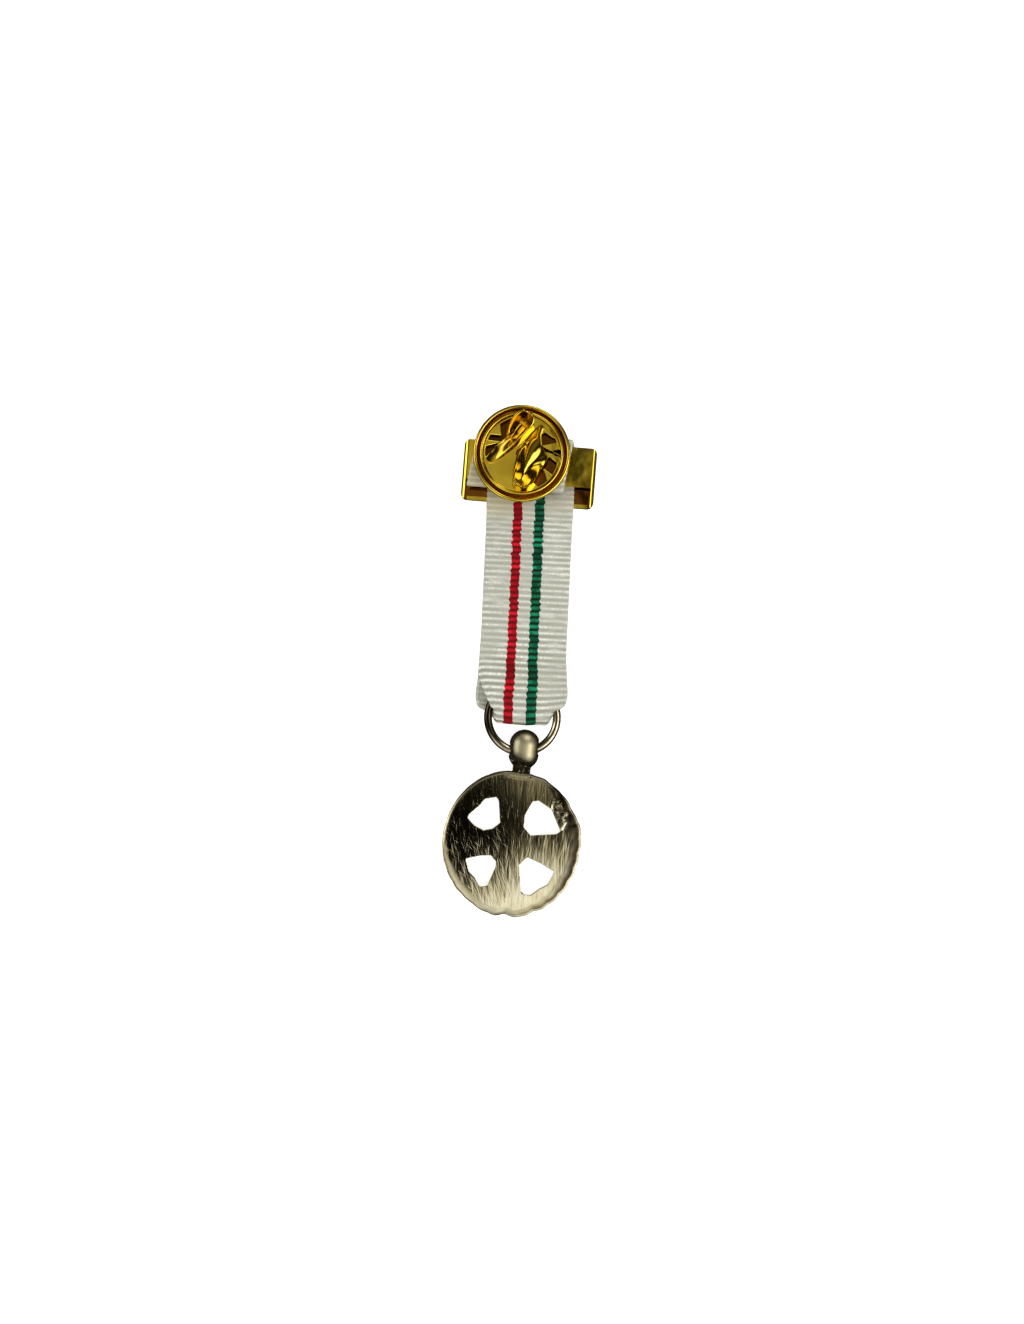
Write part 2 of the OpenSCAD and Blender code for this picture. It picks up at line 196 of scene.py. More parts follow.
# Materials and light, built of shader nodes
class Paint:
    def __init__(self, owner, shader="Principled BSDF"):
        owner.use_nodes = True
        self.owner = owner
        self.tree = owner.node_tree
        self.shader = self.tree.nodes[shader]

    def add(self, kind, inputs=None, **settings):
        node = self.tree.nodes.new("ShaderNode" + kind)
        for key, value in settings.items():
            setattr(node, key, value)
        for key, value in (inputs or {}).items():
            self.feed(node.inputs[key], value)
        return node

    def feed(self, socket, value):
        if isinstance(value, bpy.types.NodeSocket):
            self.tree.links.new(value, socket)
        else:
            socket.default_value = value

    def set(self, **values):
        """Feeds the shader's own sockets."""
        for key, value in values.items():
            self.feed(self.shader.inputs[key.replace("_", " ")], value)

    def place(self):
        """Where a point lies on the piece, in millimetres."""
        at = self.add("TexCoord").outputs["Object"]
        return self.add("VectorMath", {0: at, 3: 1 / MM}, operation="SCALE").outputs[0]

    def parts(self, vector):
        """The three parts of a vector or a colour."""
        return self.add("SeparateXYZ", {0: vector}).outputs

    def joined(self, *parts):
        """A vector of parts. Those left out are 0."""
        return self.add("CombineXYZ", dict(enumerate(parts))).outputs[0]

    def upward(self):
        """How far the surface faces up: 1 where it lies level."""
        return self.parts(self.add("NewGeometry").outputs["Normal"])[2]

    def share(self, name):
        """A share that the mesh's points carry."""
        return self.add("Attribute", attribute_name=name).outputs["Fac"]

    def stretched(self, vector, scale, turn=0):
        """A pattern's place, turned in plan by so many degrees, and scaled along its own grain."""
        node = self.add("Mapping", {"Vector": vector, "Scale": [1 / s for s in scale]},
                        vector_type="TEXTURE")
        node.inputs["Rotation"].default_value = (0, 0, math.radians(turn))
        return node.outputs[0]

    def noise(self, vector, scale, detail=3, rough=0.5):
        return self.add("TexNoise", {"Vector": vector, "Scale": scale, "Detail": detail,
                        "Roughness": rough}).outputs["Fac"]

    def sum(self, a, b):
        return self.math("ADD", a, b)

    def less(self, a, b):
        return self.math("SUBTRACT", a, b)

    def times(self, a, b):
        return self.math("MULTIPLY", a, b)

    def math(self, kind, a, b=0, clamp=False):
        return self.add("Math", {0: a, 1: b}, operation=kind, use_clamp=clamp).outputs[0]

    def spread(self, value, low, high, to_low=0, to_high=1, smooth=True):
        kind = "SMOOTHSTEP" if smooth else "LINEAR"
        return self.add("MapRange", {"Value": value, "From Min": low, "From Max": high,
                        "To Min": to_low, "To Max": to_high}, interpolation_type=kind).outputs[0]

    def fall(self, value, low, high):
        return self.spread(value, low, high, 1, 0)

    def mix(self, share, a, b, kind="MIX"):
        node = self.add("Mix", data_type="RGBA", blend_type=kind)
        for k, value in ((0, share), (6, a), (7, b)):
            self.feed(node.inputs[k], value)
        return node.outputs[2]

    def streaks(self, at, turn, across, length):
        """Long streaks, so many to a millimetre across, -0.5 to 0.5."""
        lines = self.noise(self.stretched(at, (across, 1 / length, 1), turn), 1, 2, 0.55)
        return self.less(lines, 0.5)

    def strokes(self, at, turn, width, length, share):
        """Straight, tapering scratches of one direction. Each lies somewhere in its own cell, and a
        share of the cells has one."""
        across, down = self.parts(self.stretched(at, (1 / width, 1 / length, 1), turn))[:2]
        column = self.math("FLOOR", across)
        shift = self.add("TexWhiteNoise", {"W": column}, noise_dimensions="1D").outputs["Value"]
        down = self.sum(down, shift)
        cell = self.joined(column, self.math("FLOOR", down), turn)
        drawn = self.add("TexWhiteNoise", {"Vector": cell}, noise_dimensions="3D")
        chance = self.parts(drawn.outputs["Color"])
        a = self.less(self.math("FRACT", across), 0.5)
        b = self.less(self.math("FRACT", down), 0.5)
        lean = self.times(b, self.less(chance[0], 0.5))
        place = self.times(self.less(chance[1], 0.5), 0.4)
        off = self.math("ABSOLUTE", self.less(a, self.sum(lean, place)))
        line = self.fall(off, 0.03, 0.12)
        taper = self.fall(self.math("ABSOLUTE", b), 0.1, 0.5)
        there = self.spread(chance[2], 1 - share, 1, 0, 1, smooth=False)
        return self.times(self.times(line, taper), there)

    def tilted(self, along_x, along_y):
        """The surface's normal, tilted by small slopes in plan."""
        normal = self.add("NewGeometry").outputs["Normal"]
        lean = {0: normal, 1: self.joined(along_x, along_y)}
        lean = self.add("VectorMath", lean, operation="ADD").outputs[0]
        return self.add("VectorMath", {0: lean}, operation="NORMALIZE").outputs[0]

    def bump(self, height, depth, strength=1, normal=None):
        """Raises the surface by depth millimetres where height is 1."""
        node = self.add("Bump", {"Height": height, "Distance": depth * MM, "Strength": strength})
        if normal is not None:
            self.feed(node.inputs["Normal"], normal)
        return node.outputs[0]


def material(name):
    return Paint(bpy.data.materials.new(name))


def rgb(red, green, blue):
    """A colour given as it looks on a screen, 0 to 255, as linear light."""
    def linear(c):
        c = c / 255
        return c / 12.92 if c <= 0.04045 else ((c + 0.055) / 1.055) ** 2.4
    return (linear(red), linear(green), linear(blue), 1)


# Colours of the metals. The brown, black and dark ones are for painted shade, and on the silver also for
# tarnish.
GILT, GILT_DEEP = (0.92, 0.68, 0.07, 1), (0.74, 0.52, 0.045, 1)
GILT_SHADE_BROWN, GILT_SHADE_BLACK = (0.44, 0.17, 0.02, 1), (0.06, 0.02, 0.004, 1)
NICKEL, NICKEL_FILM, NICKEL_SHADE = rgb(200, 190, 164), rgb(160, 147, 112), rgb(34, 26, 16)
SILVER, SILVER_FILM, SILVER_DARK = rgb(216, 208, 176), rgb(200, 189, 150), rgb(34, 25, 12)


def gold(name, rough, pits=0, recess=None):
    """Gold plate: bright yellow, gently wavy, with smudges and small pits, and painted shade that is
    red-brown at a half and nearly black at 1. The mesh carries the shade, or with a recess, faces below
    that level do."""
    p = material(name)
    at = p.place()
    smudge = p.noise(at, 0.3, 2, 0.5)
    tint = p.mix(p.spread(smudge, 0.35, 0.7), GILT, GILT_DEEP)
    if recess is None:
        tarnish_and_shade = p.share("tarnish_and_shade")
    else:
        level = p.spread(p.parts(at)[2], recess, recess + 0.5, 0.75, 0)
        tarnish_and_shade = p.times(level, p.spread(p.upward(), 0.3, 0.6))
    # Painted shade: red-brown at a half, nearly black at 1
    tint = p.mix(p.spread(tarnish_and_shade, 0, 0.5, smooth=False), tint, GILT_SHADE_BROWN)
    tint = p.mix(p.spread(tarnish_and_shade, 0.5, 1, smooth=False), tint, GILT_SHADE_BLACK)
    p.set(Base_Color=tint, Metallic=1)
    p.set(Roughness=p.spread(p.noise(at, 0.6, 3, 0.5), 0.3, 0.75, rough * 0.8, rough * 1.3))
    height = p.sum(p.noise(at, 0.3, 2, 0.4), p.times(p.noise(at, 7, 3, 0.6), 0.008))
    if pits:
        cells = p.add("TexVoronoi", {"Vector": at, "Scale": 1.1}).outputs["Distance"]
        height = p.sum(height, p.times(p.fall(cells, 0, 0.09), pits))
    p.set(Normal=p.bump(height, 0.06))
    return p.owner


def nickel():
    """Nickel-plated wire, warm and slightly tarnished, with painted shade down its sides and by the cloth.
    """
    p = material("nickel")
    at = p.place()
    x, y = p.parts(at)[:2]
    film = p.spread(p.noise(at, 1.2, 4, 0.6), 0.35, 0.7)
    cloth_shade = p.times(p.spread(y, -11, -7.5, 0, 0.93), p.fall(x, -3.5, -1))
    side_and_cloth_shade = p.math("MAXIMUM", p.spread(p.upward(), 0.35, 0.75, 0.93, 0), cloth_shade)
    p.set(Base_Color=p.mix(side_and_cloth_shade, p.mix(film, NICKEL, NICKEL_FILM), NICKEL_SHADE), Metallic=1)
    p.set(Roughness=p.spread(film, 0, 1, 0.1, 0.2))
    p.set(Normal=p.bump(p.noise(at, 3, 4, 0.6), 0.012, 0.5))
    return p.owner


# Brush marks on the pendant's back. Columns: turn in degrees and field, and for scratches between
# them width and length of a cell and the share of the cells that have one.
STREAKS = [(14, "left"), (-3, "all"), (-14, "right")]
SCRATCHES = [(12, 0.22, 3.6, 0.5, "left"), (24, 0.28, 2.6, 0.3, "left"), (-8, 0.26, 2.4, 0.4, "all"),
             (-20, 0.26, 2.8, 0.4, "right"), (3, 0.22, 1.8, 0.4, "all"), (48, 0.3, 1.4, 0.25, "left")]
STREAKS_ACROSS, STREAK_LENGTH = (9, 7), 4.5


def brush_marks(p, at, brushed):
    """Slopes of the streaks in x and y, and the scratches."""
    x = p.less(p.parts(at)[0], PENDANT_AT[0])
    field = {"left": p.fall(x, -3, 2.5), "right": p.spread(x, -2.5, 3), "all": 1}
    slopes, lines = [0, 0], 0
    for turn, where in STREAKS:
        for axis, across in enumerate(STREAKS_ACROSS):
            streak = p.times(p.streaks(at, turn + 4 * axis, across, STREAK_LENGTH), field[where])
            slopes[axis] = p.sum(slopes[axis], streak)
    for *scratch, where in SCRATCHES:
        lines = p.sum(lines, p.times(p.strokes(at, *scratch), field[where]))
    lines = p.times(lines, brushed)
    slope_x = p.times(p.times(slopes[0], brushed), 0.058)
    slope_y = p.times(p.times(slopes[1], brushed), 0.09)
    return slope_x, p.less(slope_y, p.times(lines, 0.065)), lines


def cast_silver():
    """Silvered casting: brushed back, with tarnish and painted shade in its hollows and on its edges, and a
    rough patch by one opening.
    """
    p = material("cast_silver")
    at = p.place()
    film = p.spread(p.noise(at, 0.35, 4, 0.6), 0.35, 0.68)
    brushed, rough = p.share("brushed"), p.share("crumbs")
    glints = p.times(p.spread(p.noise(at, 3.2, 3, 0.6), 0.56, 0.68, 0, 0.6), rough)
    uneven = p.spread(p.noise(at, 1.6, 3, 0.5), 0.3, 0.7, 0.98, 1)
    # Tarnish and painted shade that the mesh carries, broken by painted glints in its rough places
    tone = p.times(p.share("tarnish_and_shade"), p.less(uneven, glints))
    p.set(Base_Color=p.mix(tone, p.mix(film, SILVER, SILVER_FILM), SILVER_DARK), Metallic=1)
    slope_x, slope_y, lines = brush_marks(p, at, brushed)
    fine = p.noise(p.stretched(at, (9, 0.3, 2), 4), 1, 3, 0.6)
    worn = p.less(0.3, p.times(brushed, 0.25))
    worn = p.sum(worn, p.spread(p.parts(at)[1], -12.6, -12, 0, 0.1))  # the eye is duller
    worn = p.sum(worn, p.spread(fine, 0.3, 0.7, 0, 0.05))
    p.set(Roughness=p.sum(worn, p.sum(p.times(tone, 0.1), p.times(lines, 0.1))))
    crumbs = p.times(p.noise(at, 5.5, 4, 0.75), rough)
    p.set(Normal=p.bump(crumbs, 0.07, 1, p.tilted(slope_x, slope_y)))
    return p.owner


RED_BAND, GREEN_BAND = (0.317, 0.417), (0.557, 0.664)  # stripes, as shares of the ribbon's width
BEADS = 75  # across the ribbon
# Colours: painted shade in the groove, on the slope, painted highlight along the crest, and where a stripe
# is dull
IVORY = (rgb(88, 89, 75), rgb(170, 171, 158), rgb(248, 247, 238))
RED = (rgb(96, 0, 6), rgb(150, 0, 13), rgb(218, 26, 44), rgb(88, 0, 4))
GREEN = (rgb(0, 34, 18), rgb(0, 75, 47), rgb(28, 150, 106), rgb(0, 32, 18))
# Painted sheen, painted warm shade and reflection of the gold by the clutch, and painted shade where the
# cloth turns under
SHEEN_TINT, CLUTCH_GLOW_SHADE, UNDER_SHADE = rgb(226, 225, 218), rgb(172, 158, 118), rgb(176, 172, 148)


def stripe_edges(p, u, v, rib):
    """u as the stripes see it: each rib moves and slants them a little, and they wander."""
    drawn = p.add("TexWhiteNoise", {"W": rib}, noise_dimensions="1D")
    chance = p.parts(drawn.outputs["Color"])
    slant = p.times(p.math("SINE", p.times(v, 2 * math.pi)),
                    p.spread(chance[1], 0, 1, 0.002, 0.009, smooth=False))
    slant = p.sum(slant, p.spread(chance[0], 0, 1, -0.006, 0.006, smooth=False))
    wander = p.times(p.less(p.noise(p.joined(0, v), 0.9, 1), 0.5), 0.02)
    return p.sum(u, p.sum(slant, wander))


def band(p, across, edges):
    """1 on a stripe, 0 beside it."""
    soft = 0.003
    return p.times(p.spread(across, edges[0] - soft, edges[0] + soft),
                   p.fall(across, edges[1] - soft, edges[1] + soft))


# A dye's colours, mixed by the painted highlight along the crest and the painted shade in the groove
def painted_light_dye(p, dye, line, groove):
    return p.mix(line, p.mix(groove, dye[1], dye[0]), dye[2])


def patches(p, u, v, scale, detail, rough=0.5):
    """Noise in patches, so many to the ribbon's width and to a rib."""
    place = p.joined(p.times(u, scale[0]), p.times(v, scale[1]))
    return p.noise(place, 1, detail, rough)


def ribbon_cloth():
    """Ribbed ribbon, ivory with a red and a green stripe. u runs across it, v counts its ribs."""
    p = material("ribbon_cloth")
    u, v = p.parts(p.add("TexCoord").outputs["UV"])[:2]
    rib = p.math("FLOOR", v)
    crest = p.math("SINE", p.times(p.math("FRACT", v), math.pi))

    # Painted highlights along each rib's crest in small beads, more in some stretches than in others, and
    # painted shade in the groove, with a fainter thread in it
    row = p.times(rib, 7.3)
    uneven = p.noise(p.joined(p.times(u, 60), row), 1, 3, 0.75)
    beads = p.math("SINE", p.sum(p.times(u, BEADS * 2 * math.pi), row))
    beads = p.times(p.spread(beads, -1, 0.6, 0.6, 1), p.spread(uneven, 0.35, 0.65, 0.25, 1))
    stretch = patches(p, u, v, (1.6, 0.16), 2)
    shine = p.spread(stretch, 0.38, 0.6, 0.35, 1)
    line = p.times(p.times(p.spread(crest, 0.8, 0.97), shine), beads)
    thread = p.spread(crest, 0, 0.3, 0.8, 0)
    groove = p.times(p.fall(crest, 0, 0.72), p.spread(stretch, 0.3, 0.6, 0.6, 1))
    groove = p.math("SUBTRACT", groove, thread, clamp=True)
    relief = p.share("relief")
    line = p.times(line, p.spread(relief, 0.3, 1, 0.55, 1, smooth=False))
    colour = painted_light_dye(p, IVORY, line, p.times(groove, relief))
    # Painted sheen, in patches
    sheen_patches = patches(p, u, v, (3, 0.9), 3, 0.65)
    colour = p.mix(p.spread(sheen_patches, 0.48, 0.72, 0, 0.4), colour, SHEEN_TINT)

    # Painted warm shade and reflection of the gold near the clutch, and painted shade where it turns under
    # at the ring
    x, y = p.parts(p.place())[:2]
    clutch_glow_shade = p.times(p.spread(y, 17, 19.6, 0, 0.6), p.spread(x, -2.5, 3, 1, 0.3))
    colour = p.mix(clutch_glow_shade, colour, CLUTCH_GLOW_SHADE)
    under_shade = p.times(p.spread(p.upward(), 0.3, 0.93, 0.8, 0), p.fall(y, -5.8, -4.6))
    colour = p.mix(under_shade, colour, UNDER_SHADE, "MULTIPLY")

    # The stripes have painted highlights on their crests, bright in some stretches and dark in others, and
    # painted shade in their grooves
    flash = patches(p, u, v, (7, 0.34), 2, 0.6)
    crest_glints = p.times(p.spread(crest, 0.55, 0.92), p.spread(flash, 0.36, 0.6, 0.1, 1))
    crest_glints = p.times(crest_glints, p.spread(uneven, 0.3, 0.6, 0.7, 1))
    dull = p.spread(p.noise(p.joined(0, p.times(rib, 3.7)), 1, 1), 0.38, 0.6, 0, 0.7)
    across = stripe_edges(p, u, v, rib)
    for edges, dye in ((RED_BAND, RED), (GREEN_BAND, GREEN)):
        stripe = painted_light_dye(p, dye, crest_glints, p.fall(crest, 0.1, 0.8))
        colour = p.mix(band(p, across, edges), colour, p.mix(dull, stripe, dye[3]))
    p.set(Base_Color=colour, Roughness=0.75, Specular_IOR_Level=0.1)
    p.set(Sheen_Weight=0.03, Sheen_Roughness=0.4)
    p.set(Normal=p.bump(beads, 0.02, 0.5))
    return p.owner


# Ribbon: one strip from the tray round the ring, up the front, over the bar and down to its cut end
# From one rib to the next, and how strongly the ribs stand out. Columns: length along the strip, value.
RIB = [[0, 0.67], [14, 0.68], [20, 0.75], [31, 0.8], [36, 0.72], [80, 0.71]]
RELIEF = [[0, 0.45], [20, 0.55], [25, 0.85], [29, 1.15], [34, 1], [36, 0.4], [42, 0.5], [80, 0.7]]
GROOVE = 0.12  # depth of the grooves between the ribs
RIB_STEPS = 9  # rows of points for each rib
CLOTH_T = 0.6  # the ribbon's thickness
PRESSED_T = 0.9  # its thickness where it is padded, by the bar and under the clutch
HALF = 5.4  # half its width
FOLD_Y, FOLD_Z = -16.1, 1.55  # where the ribbon turns round the ring
FOLD_R = 1.25  # middle of the cloth, round the ring's wire
BACK_Z, FRONT_Z = 1.8, 0.3  # middles of the two layers
LIP_Z, RING_Z = 2.5, 2.78  # middle of the back layer over the bar's lip and over the ring
TUCK = 0.32  # how softly an edge turns under where the cloth is gathered
TUCK_DEPTH = 0.75
RIM_SHARE = 0.035  # share of the half width in which the cloth rounds off to its edge
EDGE_STEPS = np.array([0, 0.0035, 0.009, 0.018, 0.032])

# How far each layer reaches to the left and the right. Columns: y along the ribbon, x.
BACK_LEFT = [[-16.1, -3.3], [-15.4, -3.85], [-13.6, -4.55], [-12.4, -5.1], [-10.5, -5.5], [16, -5.5]]
BACK_RIGHT = [[-16.1, 4.2], [-15.8, 5], [-15.3, 5.9], [-13.6, 5.9], [-9, 5.6], [16, 5.6]]
FRONT_LEFT = [[-16.1, -4.3], [-15.8, -5.3], [-14.9, -5.8], [-12.4, -5.7], [-8.8, -5.5], [17, -5.5]]
FRONT_RIGHT = [[-16.1, 4], [-15.4, 5.1], [-14.7, 5.6], [-11.5, 5.5], [17, 5.5]]

# Course of each layer. Columns: y along the ribbon, z of its middle, half width, front's thickness.
BACK_COURSE = [[15.8, 1.85, HALF], [13.4, 1.85, HALF], [11.6, 1.87, HALF], [10.6, 2.15, HALF],
               [9.8, LIP_Z, HALF], [8.7, LIP_Z, HALF], [7.6, 2.12, HALF], [6.4, 1.86, HALF],
               [4, BACK_Z, HALF], [0, BACK_Z, HALF], [-5, BACK_Z, HALF],
               [-8.6, BACK_Z + 0.02, HALF], [-10, 2.1, 5.45], [-11.4, 2.6, 5.55], [-12.8, RING_Z, 5.7],
               [-14.5, 2.82, 5.75], [-15.6, 2.81, 5.6]]
FRONT_COURSE = [[-15.7, FRONT_Z, 5.6, CLOTH_T], [-15.1, FRONT_Z, 5.7, CLOTH_T],
                [-12, FRONT_Z, 5.6, CLOTH_T], [-5, FRONT_Z, HALF, CLOTH_T],
                [3, FRONT_Z, HALF, CLOTH_T], [7.5, 0.32, HALF, 0.64], [9.5, 0.46, HALF, PRESSED_T],
                [12.5, 0.47, HALF, PRESSED_T], [15.2, 0.47, HALF, PRESSED_T]]
# Over the bar's top edge and down on the tongues, in the bar's own plane.
# Columns: y, z and x of the middle, half width, thickness.
TAIL_COURSE = [[3, 0.52, 0.1, 5.42, PRESSED_T], [3.75, 0.68, -0.05, 5.45, 0.88],
               [4.1, 1.15, -0.25, 5.5, 0.84], [4.14, 2, -0.45, 5.6, 0.84], [4.1, 2.9, -0.62, 5.7, 0.84],
               [3.78, 3.42, -0.75, 5.78, 0.86], [3.1, 3.6, -0.88, 5.82, PRESSED_T],
               [1, 3.6, -1.18, 5.85, PRESSED_T], [-1, 3.6, -1.45, 5.85, PRESSED_T],
               [-1.8, 3.58, -1.56, 5.85, PRESSED_T], [-2.12, 3.56, -1.6, 5.83, 0.8]]
BACK_ROWS = len(BACK_COURSE) + 4  # rows of the back layer, with the upper part of the fold


def ribbon_stations():
    """Rows from the tray to the cut end: middle x, y, z, turn in degrees, half width, reach to the left
    and the right, and thickness."""
    rows = []

    def add(x, y, z, half, left, right, thick, at=RIBBON_AT, turn=RIBBON_TURN):
        rows.append([*placed([x, y], at, turn)[0], z, turn, half, left, right, thick])

    for y, z, half in BACK_COURSE:
        add(0, y, z, half, along(BACK_LEFT, y), along(BACK_RIGHT, y), CLOTH_T)
    for angle in range(90, 271, 20):
        c, s = cos_sin(angle)
        y, z = FOLD_Y + FOLD_R * c, FOLD_Z + FOLD_R * s
        turned = (angle - 90) / 180
        left = -3.3 - max(0, turned - 0.7) / 0.3
        right = 4.2 - 0.5 * math.sin(math.pi * turned)
        add(0, y, z, 5.6, left, right, CLOTH_T)
    for y, z, half, thick in FRONT_COURSE:
        add(0, y, z, half, along(FRONT_LEFT, y), along(FRONT_RIGHT, y), thick)
    for y, z, x, half, thick in TAIL_COURSE:
        add(x, y, z, half, -half - 0.3, half + 0.3, thick, BAR_AT, BAR_TURN)
    return np.array(rows)


def rib_places(total):
    """Rows of points: the rib that each lies on, and its place along the strip."""
    ends = [0]
    while ends[-1] < total:
        ends.append(ends[-1] + along(RIB, ends[-1]))
    v = np.arange((len(ends) - 1) * RIB_STEPS + 1) / RIB_STEPS
    length = np.interp(v, np.arange(len(ends)), ends)
    return v, length * total / ends[-1]


def soft_step(x):
    """How far a soft edge passes x: 0 well below it, and x well above."""
    return TUCK * np.log1p(np.exp(np.clip(x / TUCK, -30, 30)))


def tucked(rows, u):
    """Middle of the cloth, its direction across the strip and its normal. It lies flat, but is turned
    under at its edges where it is gathered to pass through the ring."""
    half, left, right = (rows[..., k] for k in (4, 5, 6))
    x = (2 * u - 1) * half
    under_left, under_right = soft_step(left + 0.25 - x), soft_step(x - right + 0.25)
    x = x + under_left - under_right
    turn = np.radians(rows[..., 3])
    side = np.stack([np.cos(turn), -np.sin(turn), 0 * turn], -1)
    surface = rows[..., :3] + x[..., None] * side
    normal = unit(np.cross(side, unit(np.gradient(rows[..., :3], axis=0))))
    past = (np.maximum(under_left, under_right) - TUCK * math.log(2) * 0.6).clip(0)
    tuck = TUCK_DEPTH * np.tanh(past / TUCK_DEPTH)
    return surface + tuck[..., None] * normal, side, normal


def gathered(surface, normal, u, back):
    """By the ring the ribs bend towards the bar at both edges, and the cloth ripples."""
    y = surface[..., 1]
    gather = cut((-0.5 - y) / 5.5) ** 2 * np.where(back, 1, 0.35)
    turned = cut((-5.2 - y) / 1.6)
    surface[..., 1] += gather * (2 * u - 0.95) ** 2 * 0.75 * (1 - 0.75 * turned)
    ripple = np.sin(u * 2 * math.pi * 2.2 + 0.6) * 0.09 + np.sin(u * 2 * math.pi * 5 + 2) * 0.03
    surface -= normal * (gather * ripple)[..., None]
    return surface, unit(np.cross(np.gradient(surface, axis=1), np.gradient(surface, axis=0)))


def ribbed(surface, side, normal, u, v, relief, thick):
    """Upper and lower face of the cloth, with its ribs and its rounded, beaded edges."""
    from_crest = np.abs(2 * (v % 1) - 1)
    ridge = (1 - from_crest**1.8 + 0.45 * np.exp(-(((1 - from_crest) / 0.2) ** 2)))[:, None]
    rim = cut((np.abs(2 * u - 1) - (1 - RIM_SHARE)) / RIM_SHARE)
    groove = GROOVE * relief * (1 - 0.7 * rim)
    body = (thick / 2 - groove * (1 - ridge)) * np.sqrt(np.clip(1 - rim**2, 0.12, 1))
    surface = surface + side * (ridge * 0.05 * rim * np.sign(2 * u - 1))[..., None]
    return surface - normal * body[..., None], surface + normal * body[..., None]


def ribbon():
    rows = ribbon_stations()
    at = np.concatenate([[0], np.cumsum(np.linalg.norm(np.diff(rows[:, :3], axis=0), axis=1))])
    v, length = rib_places(at[-1])
    rows = smooth_rows(rows, at, length)[:, None, :]
    u = np.concatenate([EDGE_STEPS, np.linspace(0.05, 0.95, 29), 1 - EDGE_STEPS[::-1]])[None, :]
    relief = along(RELIEF, length)[:, None]
    surface, side, normal = tucked(rows, u)
    surface, normal = gathered(surface, normal, u, length[:, None] < at[BACK_ROWS])
    upper, under = ribbed(surface, side, normal, u, v, relief, rows[..., 7])

    points = np.concatenate([upper, under]).reshape(-1, 3)
    piece = make_piece("ribbon_strip", points, sheet_faces(*upper.shape[:2]), ribbon_cloth())
    uv = np.stack(np.broadcast_arrays(u, v[:, None]), -1).reshape(-1, 2)
    set_uv(piece, np.tile(uv, (2, 1)))
    shown = np.broadcast_to(relief, upper.shape[:2])
    set_share(piece, "relief", np.tile(shown.ravel(), 2))
    settle(piece, "medal", "ribbon")


# Clutch
CLUTCH = middle("clutch_cup")
CUP_STEPS = 160  # round the cup
PLATE_Z = 1.32  # underside of the spring plate
PLATE_R = 4.57
SPRING_T = 0.3
GRIP_R = 0.65  # hole that grips the pin


def clutch_cup():
    """Lathed cup: flat foot, sloping side, rolled rim, groove and bead. Columns: r, z."""
    profile = [(0.95, 0), (4.35, 0)] + arc(0.5, -90, -50, 6, (4.35, 0.5))
    profile += [(5.45, 0.86), (5.7, 1.25)] + arc(0.235, -20, 185, 20, (5.555, 1.7))
    profile += [(5.27, 1.42), (5.19, 1.27), (5.1, 1.25), (5.02, 1.4)] + arc(0.17, -20, 200, 16, (4.8, 1.85))
    profile += [(4.62, 1.6), (4.55, 1.27), (4.45, 1.2), (4.4, 0.4), (1.6, 0.3), (0.95, 0.8)]
    r, z = np.array(profile).T
    a = np.linspace(0, 2 * math.pi, CUP_STEPS, endpoint=False)[:, None]
    points = np.stack([r * np.cos(a), r * np.sin(a), z + 0 * a], -1) + CLUTCH
    faces = grid_faces(CUP_STEPS, len(z), closed=True, flip=True)
    piece = make_piece("clutch_cup_lathed", points.reshape(-1, 3), faces, gold("gold_cup", 0.17))

    # Painted shade in the groove inside the rim, a little on the rim's inner side, and most on the floor
    groove = 0.45 * ((r > 4.96) & (r < 5.3) & (z > 1.1)) + 0.15 * ((r >= 5.3) & (r < 5.5) & (z > 1.1))
    set_share(piece, "tarnish_and_shade", np.tile(np.where((r < 4.5) & (z > 0.1), 0.85, groove), CUP_STEPS))
    piece.data.set_sharp_from_angle(angle=math.radians(38))
    settle(piece, "clutch", "clutch_cup")


# Two wings of bent sheet, each a trough that rises from its root in the plate to a scoop at the other
# end. u runs along the wings and v across them, from the clutch's middle, and z from the plate's face.
# Columns: u, v, z of the inner edge, of the bottom of the trough and of the outer edge.
WING_TURN = 52
WING_A = [
    [-3.3, -2.15, -0.05, -3.35, -2.6, -0.05, -3.2, -3.1, -0.05],
    [-2.3, -1.75, 0.35, -2.3, -2.45, 0.15, -2.2, -3.1, 0.1],
    [-1.1, -1.5, 0.85, -1.1, -2.25, 0.35, -1, -2.95, 0.2],
    [0.2, -1.25, 1.7, 0.2, -2, 0.7, 0.1, -2.65, 0.75],
    [1.06, -1.12, 2.3, 1, -2, 0.85, 0.7, -2.75, 1.7],
    [2.3, -0.92, 3, 1.9, -2.1, 0.95, 1.4, -3, 2.6],
    [3.2, -0.88, 3.2, 2.9, -2.1, 1.2, 2.4, -3.15, 3.1],
    [3.75, -1.15, 3.3, 3.6, -2.05, 2.2, 3.3, -3, 3.4],
    [3.95, -1.65, 3.3, 3.95, -2.15, 3.1, 3.8, -2.7, 3.5],
]
WING_B = [
    [4.1, -0.4, 0, 4.2, -0.05, -0.05, 4.1, 0.3, -0.05],
    [2.9, -0.45, 1.1, 3, 0, 0.4, 3.1, 0.55, 0.1],
    [1.9, -0.5, 1.9, 2, 0.5, 0.6, 2.1, 1.6, 0.15],
    [0.9, -0.42, 2.5, 1, 0.9, 0.7, 1.5, 2.75, 0.3],
    [-0.2, -0.28, 3, 0, 1.1, 0.75, 0.4, 3, 0.7],
    [-1.3, 0.12, 3.2, -1, 1.4, 0.75, -0.5, 3.1, 1.6],
    [-2.2, 0.55, 3.2, -2, 1.8, 0.85, -1.6, 3.3, 2.6],
    [-3.1, 1, 3.1, -2.9, 2.1, 1.4, -2.7, 3.3, 3.1],
    [-3.55, 1.6, 3, -3.5, 2.25, 2.7, -3.35, 2.9, 3.1],
]
